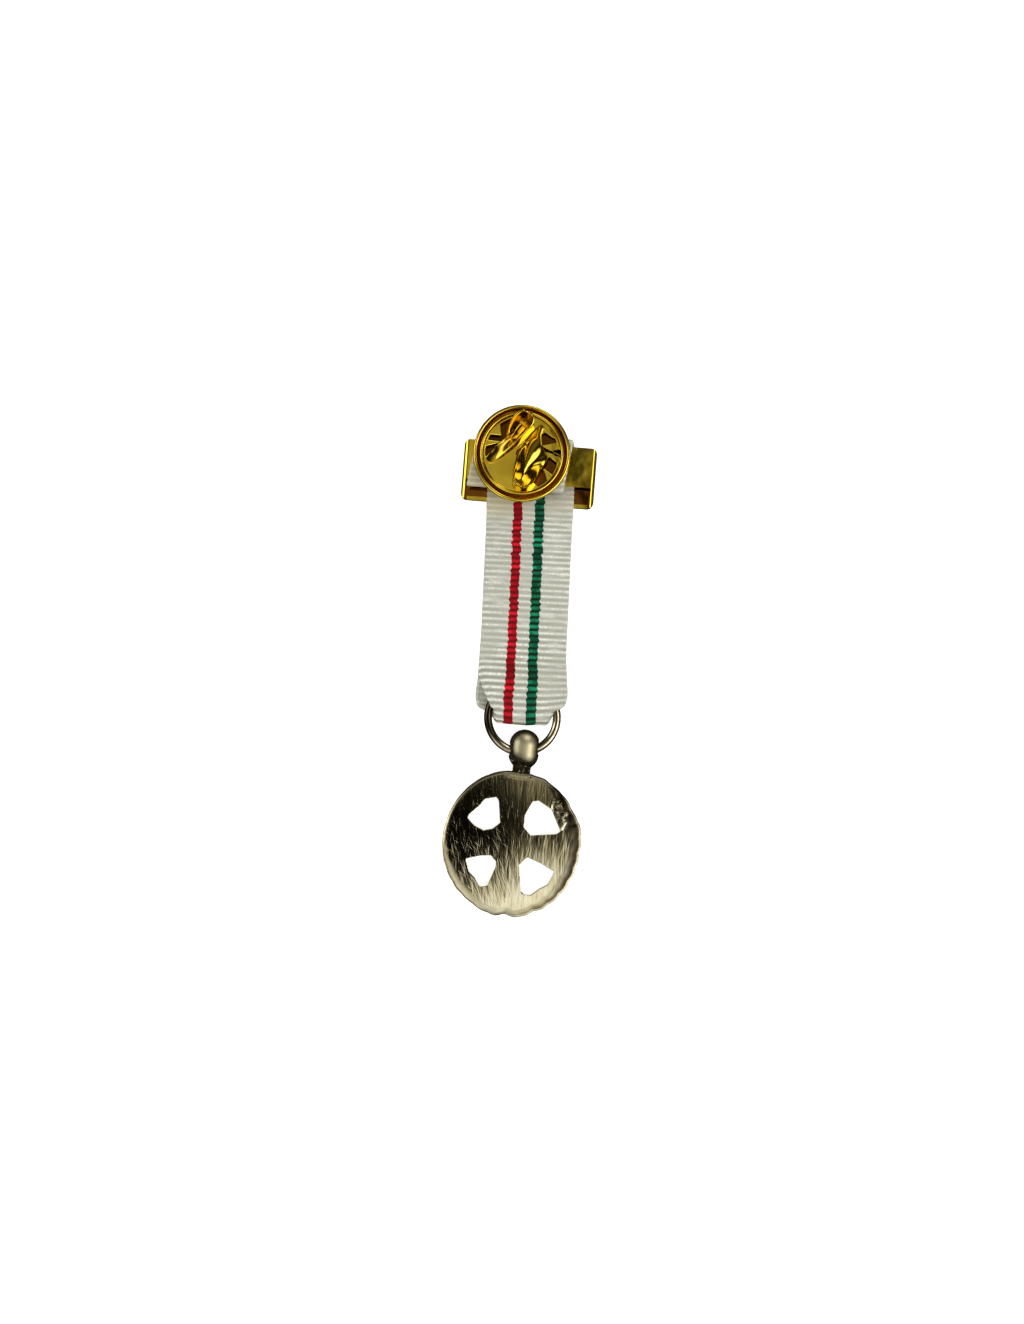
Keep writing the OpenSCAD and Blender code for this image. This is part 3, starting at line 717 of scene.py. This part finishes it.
WING_COLS, WING_ROWS = 90, 30
ROUND_ALONG, ROUND_ACROSS = 0.04, 0.16  # shares of a wing's sheet that its rounded rims take
# Painted shade, as a share, at the bottom of each wing's trough
TROUGH_SHADE_A, TROUGH_SHADE_B = 0.24, 0.12  # in the wings' troughs

# Two openings in the spring plate, with teeth. Pairs are x, y from the clutch's middle, and a lone
# number is an angle on the circle that the openings reach out to.
OPEN_R = 4.35
OPENING_A = [[-4.2, -0.35], [-2.75, 0.7], [-2, 1.55], [-1.3, 2.55], [-1, 3.4], 105, 126,
             [-2.45, 2.15], 148, 158, [-2.35, 1.4], 168, 182]
OPENING_B = [[1.9, -3.85], 296, 313, [2.75, -2.45], [2.45, -1.65], 325, 345, [3.35, -0.45], [2.1, -1],
             [2.05, 0.4], 358, [2.2, 0.95], 378, 384, [2.7, 2.5], [2.1, 2.15], [1.6, 0.3], [1.2, -1.6],
             [1, -3.1]]


def opening_outline(row):
    """Points of an opening. Two angles one after the other have an arc between them."""
    points, angle = [], None
    for item in row:
        if isinstance(item, list):
            points.append(item)
            angle = None
            continue
        points += arc(OPEN_R, item, item, 1) if angle is None else arc(OPEN_R, angle, item, 8)[1:]
        angle = item
    return points


def round_rim(t, width):
    """Share of the sheet's thickness at t, from 0 to 1 across it, with rims rounded over a width."""
    past = cut((np.abs(2 * t - 1) - (1 - width)) / width)
    return np.sqrt(np.clip(1 - past**2, 0.02, 1))


def rim_steps(steps, width):
    """Places across a sheet, set closer in its two rims."""
    close = width / 2 * np.array([0, 0.03, 0.12, 0.3, 0.6])
    return np.concatenate([close, np.linspace(width / 2, 1 - width / 2, steps), 1 - close[::-1]])


def wing_mesh(table):
    """Points and faces of a wing, and how deep in its trough each point lies, 0 to 1."""
    table = np.array(table)
    s = rim_steps(WING_COLS, ROUND_ALONG)
    t = rim_steps(WING_ROWS, ROUND_ACROSS)[None, :, None]
    rows = smooth_rows(table, np.linspace(0, 1, len(table)), s)[:, None, :]
    inner, bottom, outer = rows[..., 0:3], rows[..., 3:6], rows[..., 6:9]
    sheet = inner * (1 - t) * (1 - 2 * t) + bottom * 4 * t * (1 - t) + outer * t * (2 * t - 1)
    u, v, z = (sheet[..., k] for k in range(3))
    cos, sin = cos_sin(WING_TURN)
    sheet = np.stack([u * cos + v * sin, u * sin - v * cos, z], -1)
    normal = unit(np.cross(np.gradient(sheet, axis=0), np.gradient(sheet, axis=1)))
    half = SPRING_T / 2 * round_rim(t, ROUND_ACROSS) * round_rim(s[:, None, None], ROUND_ALONG)
    both = np.concatenate([sheet - normal * half, sheet + normal * half]).reshape(-1, 3)
    trough = np.broadcast_to(4 * t * (1 - t), sheet.shape[:2] + (1,))
    return both, sheet_faces(*sheet.shape[:2]), np.tile(trough.ravel(), 2)


def lowest_first(face):
    """A face's points from the lowest number on. Sorted so, faces have one order in each run."""
    k = face.index(min(face))
    return face[k:] + face[:k]


def plate_mesh():
    """Spring plate with its two toothed openings and the hole that grips the pin."""
    mesh = bmesh.new()
    circle = arc(PLATE_R, 0, 360, 97)[:-1]
    hole = arc(GRIP_R, 0, 360, 33)[:-1]
    for loop in (circle, hole, opening_outline(OPENING_A), opening_outline(OPENING_B)):
        verts = [mesh.verts.new((x, y, 0)) for x, y in loop]
        for a, b in zip(verts, verts[1:] + verts[:1]):
            mesh.edges.new((a, b))
    bmesh.ops.triangle_fill(mesh, edges=mesh.edges[:], use_beauty=True, use_dissolve=False)
    for face in mesh.faces:
        if face.normal.z < 0:
            face.normal_flip()
    raised = bmesh.ops.extrude_face_region(mesh, geom=mesh.faces[:])
    for v in raised["geom"]:
        if isinstance(v, bmesh.types.BMVert):
            v.co.z += SPRING_T
    bmesh.ops.recalc_face_normals(mesh, faces=mesh.faces[:])
    mesh.verts.index_update()
    points = np.array([v.co for v in mesh.verts])
    faces = sorted(lowest_first([v.index for v in f.verts]) for f in mesh.faces)
    mesh.free()
    return points, faces


def clutch_spring():
    points, faces = plate_mesh()
    # Painted shade: none on the plate, and some down each wing's trough
    tarnish_and_shade = np.zeros(len(points))
    for table, most in ((WING_A, TROUGH_SHADE_A), (WING_B, TROUGH_SHADE_B)):
        more, quads, trough = wing_mesh(table)
        more[:, 2] += SPRING_T
        faces += [[int(k) + len(points) for k in f] for f in quads]
        points = np.concatenate([points, more])
        tarnish_and_shade = np.concatenate([tarnish_and_shade, most * trough])
    points = points + (CLUTCH + (0, 0, PLATE_Z))
    piece = make_piece("clutch_wings", points, faces, gold("gold_spring", 0.07))
    set_share(piece, "tarnish_and_shade", tarnish_and_shade)
    worn_edges(piece, 70)
    piece.data.set_sharp_from_angle(angle=math.radians(45))
    settle(piece, "clutch", "clutch_spring")


# Bar and ring keep their solids
BAR_RECESS = 1.6  # top of the bar's plate


def repaint(node, paint):
    piece = NODES[node]
    piece.data.materials.clear()
    piece.data.materials.append(paint)


def brooch_bar():
    # Painted shade on the bar's upward faces below the top of its plate, fading out half a millimetre
    # higher
    repaint("brooch_bar", gold("gold_bar", 0.09, 0.25, BAR_RECESS))
    worn_edges(NODES["brooch_bar"], 40)


# Pendant. Angles are in its own plane, in degrees from +X towards +Y, and its cross stands upright.
PENDANT_T = 2
DOME_H = 0.2
RIM_R, RIM_OVAL = 8.6, 0.2  # as in the part's source
LEAF_TIP, LEAVES = 0.13, 28
VOXEL = 0.09
DISC_R, DISC_TOP = 9, 8.9  # the disc's points lie inside this radius and below this y
OPENINGS_R, INNER_R = 7.2, 8  # radii of the openings' walls and of what they move
HALF_UP = 0.8  # points above this level belong to the back
EYE_Y = 9.9  # the eye begins here
EYE_LOW, EYE_HIGH = 11.15, 12.3  # its axis, between the middles of its two rounded ends
EYE_TOP, EYE_DOME, EYE_R = 2.95, 0.8, 1.6
NECK_Y, NECK_TOP = 8, 1.84  # where the neck begins, and its level there
DRAFT = 0.17  # how much the openings widen towards the front
LEDGE = 0.29  # bright ledge outside the bevel
EDGE_R = 0.25  # rounding of the edge where there is no bevel
BEVEL_DROP = 0.22
ROLL_W = 0.95  # how far in from the edge the back rolls down

# Width of the bevel on the back's edge. Columns: angle, width.
BEVEL = [[-180, 0], [-120, 0], [-95, 0.25], [-60, 0.75], [-30, 1.15], [0, 1.2], [28, 1.15], [44, 1.2],
         [52, 1], [59, 0.5], [66, 0.12], [80, 0.05], [100, 0], [180, 0]]
# Hollows and bumps of the outline. Columns: angle, how far it stands out.
OUTLINE = [[-180, 0.08], [-163, 0.05], [-149, 0], [-137, -0.03], [-120, -0.1], [-104, 0.05], [-96, 0.05],
           [-88, -0.32], [-79, 0.13], [-75, 0.05], [-66, -0.16], [-57, -0.04], [-43, -0.1], [-24, -0.14],
           [-3, -0.14], [7, -0.03], [23, 0.13], [35, -0.12], [50, 0], [60, -0.04], [70, 0.1], [79, 0.02],
           [95, 0.06], [103, 0.2], [122, 0.22], [145, 0.14], [173, 0.08], [180, 0.08]]
# How far the back rolls down towards its edge where there is no bevel. Columns: angle, drop.
ROLL = [[-180, 0.12], [-150, 0.2], [-125, 0.2], [-100, 0.15], [-80, 0], [120, 0], [150, 0.04],
        [180, 0.12]]
# Painted shade and wear. Columns: angle, value. Share of the ledge that is bright, how dark the painted
# shade on the bevel and the top's edge is, and how far in from the edge the brush marks begin.
BRIGHT_LEDGE = [[-100, 0], [-80, 1], [42, 1], [54, 0]]
BEVEL_SHADE = [[-85, 0.25], [-55, 0.48], [-25, 0.85], [0, 1]]
EDGE_DIM = [[60, 0], [80, 1], [150, 1], [180, 0]]
BRUSHED_FROM = [[-175, 0.1], [-150, 0.8], [-55, 0.8], [-35, 0.1]]

# Rough patch by the upper right opening, and a bright crooked ridge of metal beside it
PATCH_AT, PATCH_SIZE, PATCH_TURN = (5.3, 4.55), (0.95, 1.95), 25
PITS = 170
FLASH = [(6.26, 4.74), (5.76, 4.14), (6.05, 3.44), (5.76, 2.79)]
FLASH_W, FLASH_H = 0.11, 0.12


def rim_radius(angle):
    lean = np.cos(angle + math.radians(40))
    return (RIM_R - RIM_OVAL * np.cos(2 * angle)
            + LEAF_TIP * (0.6 + 0.4 * lean) * np.abs(np.sin(angle * LEAVES / 2)))


def in_patch(x, y):
    """1 in the middle of the rough patch, 0 outside it."""
    a, b = turned_back(x, y, PATCH_AT, -PATCH_TURN)
    return cut(1.6 * (1 - np.hypot(a / PATCH_SIZE[0], b / PATCH_SIZE[1])))


def pitted(x, y):
    """Depth of the patch's pits and crumbs."""
    rng = np.random.default_rng(11)
    depth = np.zeros_like(x)
    for _ in range(PITS):
        at = rng.uniform(-1, 1, 2) * max(PATCH_SIZE)
        size, deep = rng.uniform(0.07, 0.16), rng.uniform(-0.14, 0.26)
        d2 = (x - PATCH_AT[0] - at[0]) ** 2 + (y - PATCH_AT[1] - at[1]) ** 2
        depth += deep * np.exp(-d2 / (2 * size**2))
    return np.clip(depth + 0.06, -0.12, 0.45) * in_patch(x, y)


def by_flash(x, y):
    """1 on the crooked ridge beside the patch, 0 away from it."""
    near = np.full(x.shape, 9.0)
    for (ax, ay), (bx, by) in zip(FLASH, FLASH[1:]):
        px, py, dx, dy = x - ax, y - ay, bx - ax, by - ay
        t = cut((px * dx + py * dy) / (dx**2 + dy**2))
        near = np.minimum(near, np.hypot(px - t * dx, py - t * dy))
    return np.exp(-(near / FLASH_W) ** 2)


def fine_mesh(node):
    """A node's own form in small, even faces."""
    rough = linked(node + "_rough", NODES[node].data.copy())
    remesh = rough.modifiers.new("fine", "REMESH")
    remesh.mode, remesh.voxel_size = "VOXEL", VOXEL * MM
    relax = rough.modifiers.new("relax", "SMOOTH")
    relax.factor, relax.iterations = 0.5, 3
    mesh = bpy.data.meshes.new_from_object(rough.evaluated_get(bpy.context.evaluated_depsgraph_get()))
    bpy.data.objects.remove(rough)
    return mesh


def read(mesh, key):
    """What a mesh's points have under a key, as rows of three."""
    values = np.zeros((len(mesh.vertices), 3))
    mesh.vertices.foreach_get(key, values.ravel())
    return values


class Casting:
    """The pendant's points, their places in its own plane, and their wear, tarnish and painted shade."""

    def __init__(self, mesh):
        self.points, self.normals = read(mesh, "co") / MM, read(mesh, "normal")
        x, y = turned_back(self.points[:, 0], self.points[:, 1], PENDANT_AT, PENDANT_TURN)
        angle = np.arctan2(y, x)
        self.x, self.y, self.r, self.degrees = x, y, np.hypot(x, y), np.degrees(angle)
        self.inside = rim_radius(angle) - self.r
        self.disc = (self.r < DISC_R) & (y < DISC_TOP)
        self.bevel_w = along(BEVEL, self.degrees)
        self.from_axis = np.hypot(x, y - np.clip(y, EYE_LOW, EYE_HIGH)) / EYE_R
        self.pits, self.flash = pitted(x, y), by_flash(x, y)

    def widen_openings(self):
        """Wider towards the front, as a casting's openings are."""
        points, normals, r = self.points, self.normals, self.r
        wall = np.flatnonzero((np.abs(normals[:, 2]) < 0.4) & (r < OPENINGS_R) & (points[:, 2] > 0.4))
        tree = mathutils.kdtree.KDTree(len(wall))
        for k in wall:
            tree.insert((*points[k, :2], 0), int(k))
        tree.balance()
        inner = np.flatnonzero(r < INNER_R)
        found = [tree.find((*points[k, :2], 0))[1:] for k in inner]
        near, far = (np.array(column) for column in zip(*found))
        away = -unit(normals[near, :2]) * np.exp(-(far / 0.6) ** 2)[:, None]
        depth = np.clip(PENDANT_T - points[inner, 2], 0, PENDANT_T)
        points[inner, :2] += away * (DRAFT * depth)[:, None]

    def shape_back(self):
        """Domed, bevelled at the right with a ledge outside the bevel, and rounded off elsewhere."""
        share = cut(self.bevel_w / 0.8)
        reach = np.maximum(self.bevel_w + 0.3, 0.01)
        down = cut(1 - np.maximum(self.inside, LEDGE) / reach)
        bevel = share * BEVEL_DROP * 1.25 * down**2
        past = np.clip(EDGE_R - self.inside, 0, EDGE_R)
        by_neck = ramp(np.abs(self.x), 1.7, -0.5) * (self.y > 0)
        rounded = (EDGE_R - np.sqrt(EDGE_R**2 - past**2)) * (1 - share) * (1 - by_neck)
        roll = along(ROLL, self.degrees) * cut(1 - self.inside / ROLL_W) ** 2
        dome = PENDANT_T - DOME_H * (self.r / RIM_R) ** 2
        level = dome - bevel - rounded - roll - self.pits + FLASH_H * self.flash
        self.back = self.disc & (self.normals[:, 2] > 0.3) & (self.points[:, 2] > HALF_UP)
        self.points[self.back, 2] = level[self.back]

    def shape_neck(self):
        y, z = self.y, self.points[:, 2]
        neck = (y > NECK_Y) & (y < EYE_Y) & (np.abs(self.x) < 1.6) & (z > HALF_UP)
        z[neck] = np.minimum(z[neck], NECK_TOP - 0.2 * np.clip(y[neck] - NECK_Y, 0, 1.2))

    def shape_eye(self):
        """Domed where the solid is filed flat."""
        z = self.points[:, 2]
        eye = (self.y > EYE_Y) & (self.normals[:, 2] > 0.5) & (z > 2)
        z[eye] = (EYE_TOP - EYE_DOME * cut(self.from_axis) ** 2.4)[eye]

    def shape_outline(self):
        """Uneven, as cast."""
        out = along(OUTLINE, self.degrees) * ramp(self.r, 6.5, 1.5)
        out[~self.disc] = 0
        before = np.stack([self.x, self.y], -1)
        after = before * (1 + out / np.maximum(self.r, 1))[:, None]
        self.points[:, :2] += (placed(after, PENDANT_AT, PENDANT_TURN)
                               - placed(before, PENDANT_AT, PENDANT_TURN))
        self.x, self.y = after.T

    def in_neck(self):
        return ramp(self.y, 8.5, 0.3) * ramp(self.y, 10.7, -0.5)

    def edge_shade(self):
        """Painted shade: a dark bevel at the right, and a dim edge at the top."""
        ledge = LEDGE * along(BRIGHT_LEDGE, self.degrees)
        edge = ramp(self.inside, self.bevel_w + 0.45, -1.15) * ramp(self.inside, ledge - 0.06, 0.16)
        edge *= cut(self.bevel_w / 0.4) * along(BEVEL_SHADE, self.degrees)
        dim = 0.5 * ramp(self.inside, 0.3, -0.15) * along(EDGE_DIM, self.degrees)
        return (1 - (1 - edge) ** 3 + dim) * self.disc

    def eye_shade(self):
        """Painted shade round the eye's sides, at its left and at its lower end."""
        shade = ramp(self.from_axis, 0.74, 0.2) + 0.2 * ramp(self.x, -0.8, -0.6)
        shade = shade + cut((11.4 - self.y - 0.3 * self.x) / 0.9)
        return (self.y > EYE_Y) * np.clip(0.05 + 0.92 * shade, 0, 0.97)

    def tarnish_and_shade(self):
        z = self.points[:, 2]
        # Painted shade on the eye's lower sides, below a level
        low = ramp(self.y, 9.3, 0.3) * ramp(z, 2.3, -0.4)
        patch = cut(in_patch(self.x, self.y) * 2)
        patch = patch * (1 - (1 - cut(0.4 + 3 * self.pits)) ** 3)
        # Painted shade on the bevel and the top's edge, and the rough patch's tarnish
        worn = np.maximum(self.edge_shade(), patch) * (1 - self.flash) * (z > 1)
        # Painted shade on the faces that look down
        front = 0.9 * self.disc * (self.normals[:, 2] < -0.3) * ramp(z, 0.2, 0.3)
        return np.maximum.reduce([self.in_neck(), 0.8 * low, worn, front, self.eye_shade()])

    def brushed(self):
        return ramp(self.inside, along(BRUSHED_FROM, self.degrees), 0.3) * self.back


def pendant():
    """The solid's own form with the softened edges, hollows and wear of a hand-finished casting, darkened
    by tarnish and painted shade.
    """
    mesh = fine_mesh("pendant")
    cast = Casting(mesh)
    cast.widen_openings()
    cast.shape_back()
    cast.shape_neck()
    cast.shape_eye()
    cast.shape_outline()
    mesh.vertices.foreach_set("co", (cast.points * MM).ravel())
    mesh.update()
    mesh.shade_smooth()
    mesh.materials.clear()
    mesh.materials.append(cast_silver())
    piece = linked("pendant_cast", mesh)
    set_share(piece, "tarnish_and_shade", cast.tarnish_and_shade())
    set_share(piece, "crumbs", np.maximum(cast.in_neck(), in_patch(cast.x, cast.y)))
    set_share(piece, "brushed", cast.brushed())
    relaxed(piece, "neck", ramp(cast.y, 7.9, 0.4) * ramp(np.abs(cast.x), 1.9, -0.4), 14)
    relaxed(piece, "rim", ramp(cast.r, 8, 0.2) * cast.disc, 7)
    settle(piece, "medal", "pendant")


# Camera, floor and light
VIEW_AT = (-0.92, 0.32, 2.5)  # what the middle of the picture shows
VIEW_FROM = 170  # the camera's height above it
VIEW_LONG = 160.5  # the picture's long side at that level
FAR = 2500  # half the floor's width


def camera():
    data = bpy.data.cameras.new("camera")
    data.sensor_width = 36
    data.lens = data.sensor_width * VIEW_FROM / VIEW_LONG
    data.clip_start, data.clip_end = 0.01, 20
    eye = linked("camera", data)
    eye.location = (VIEW_AT[0] * MM, VIEW_AT[1] * MM, (VIEW_AT[2] + VIEW_FROM) * MM)
    SCENE.camera = eye


def floor():
    """A plain pale floor, which the metal doesn't mirror."""
    p = material("pale_floor")
    p.set(Base_Color=(0.94, 0.94, 0.94, 1), Roughness=0.9, Specular_IOR_Level=0)
    p.set(Emission_Color=(1, 1, 1, 1), Emission_Strength=0.7)
    corners = [(-FAR, -FAR, 0), (FAR, -FAR, 0), (FAR, FAR, 0), (-FAR, FAR, 0)]
    plane = make_piece("floor", corners, [(0, 1, 2, 3)], p.owner, smooth=False)
    plane.visible_glossy = False


# Soft lights of the room, as blobs on the sky. Columns, in degrees: from the zenith, direction in
# plan from +X, inner and outer radius. Then strength.
LIGHTS = [(11, 92, 6, 17, 0.42), (24, -80, 8, 18, 1.3), (44, -30, 16, 28, 2.6),
          (42, 5, 6, 16, 1.8), (62, 165, 8, 22, 2.3), (54, -128, 8, 24, 1),
          (33, -138, 6, 15, 1), (50, 180, 10, 28, 0.5), (58, 70, 8, 24, 2.3)]
# Darker places near the zenith, with the same columns but no strength
DARKS = [(8, 216, 5.5, 11), (9.5, 57, 2.2, 4)]
DARK_SHARE = 0.96
SKY_BASE, LOW_SKY = 0.02, 0.13  # strength high up and near the horizon
LOW_FROM, LOW_TO = 0.42, 0.26  # heights between which it changes
UNDER = 0.4  # share of it below the horizon
FILL = 0.55  # even light that only matt surfaces receive
DIM, WHITE = (1, 0.9, 0.66, 1), (1, 1, 1, 1)  # colour of the room where it is dim and bright


def blob(p, look, from_zenith, heading, inner, outer):
    """1 inside a round place on the sky, falling to 0 at its outer radius."""
    (up, out), (x, y) = cos_sin(from_zenith), cos_sin(heading)
    middle_at = (out * x, out * y, up)
    dot = p.add("VectorMath", {0: look, 1: middle_at}, operation="DOT_PRODUCT")
    return p.spread(dot.outputs["Value"], cos_sin(outer)[0], cos_sin(inner)[0])


def sky():
    """Light of the room. The camera sees it plain white."""
    world = bpy.data.worlds.new("room")
    SCENE.world = world
    p = Paint(world, "Background")
    place = p.add("TexCoord").outputs["Generated"]
    look = p.add("VectorMath", {0: place}, operation="NORMALIZE").outputs[0]
    up = p.parts(look)[2]
    level = p.times(p.spread(up, LOW_TO, LOW_FROM, LOW_SKY, SKY_BASE), p.spread(up, -0.1, 0.06, UNDER, 1))
    for *spot, strength in LIGHTS:
        level = p.sum(level, p.times(blob(p, look, *spot), strength))
    for spot in DARKS:
        level = p.times(level, p.less(1, p.times(blob(p, look, *spot), DARK_SHARE)))
    path = p.add("LightPath").outputs
    level = p.sum(level, p.times(path["Is Diffuse Ray"], FILL))
    seen = path["Is Camera Ray"]
    level = p.sum(p.times(level, p.less(1, seen)), seen)
    p.set(Strength=level, Color=p.mix(p.spread(level, 0, 1), DIM, WHITE))


def main():
    SCENE.view_settings.view_transform = "Standard"
    camera()
    floor()
    sky()
    ribbon()
    clutch_cup()
    clutch_spring()
    brooch_bar()
    repaint("suspension_ring", nickel())
    pendant()


main()
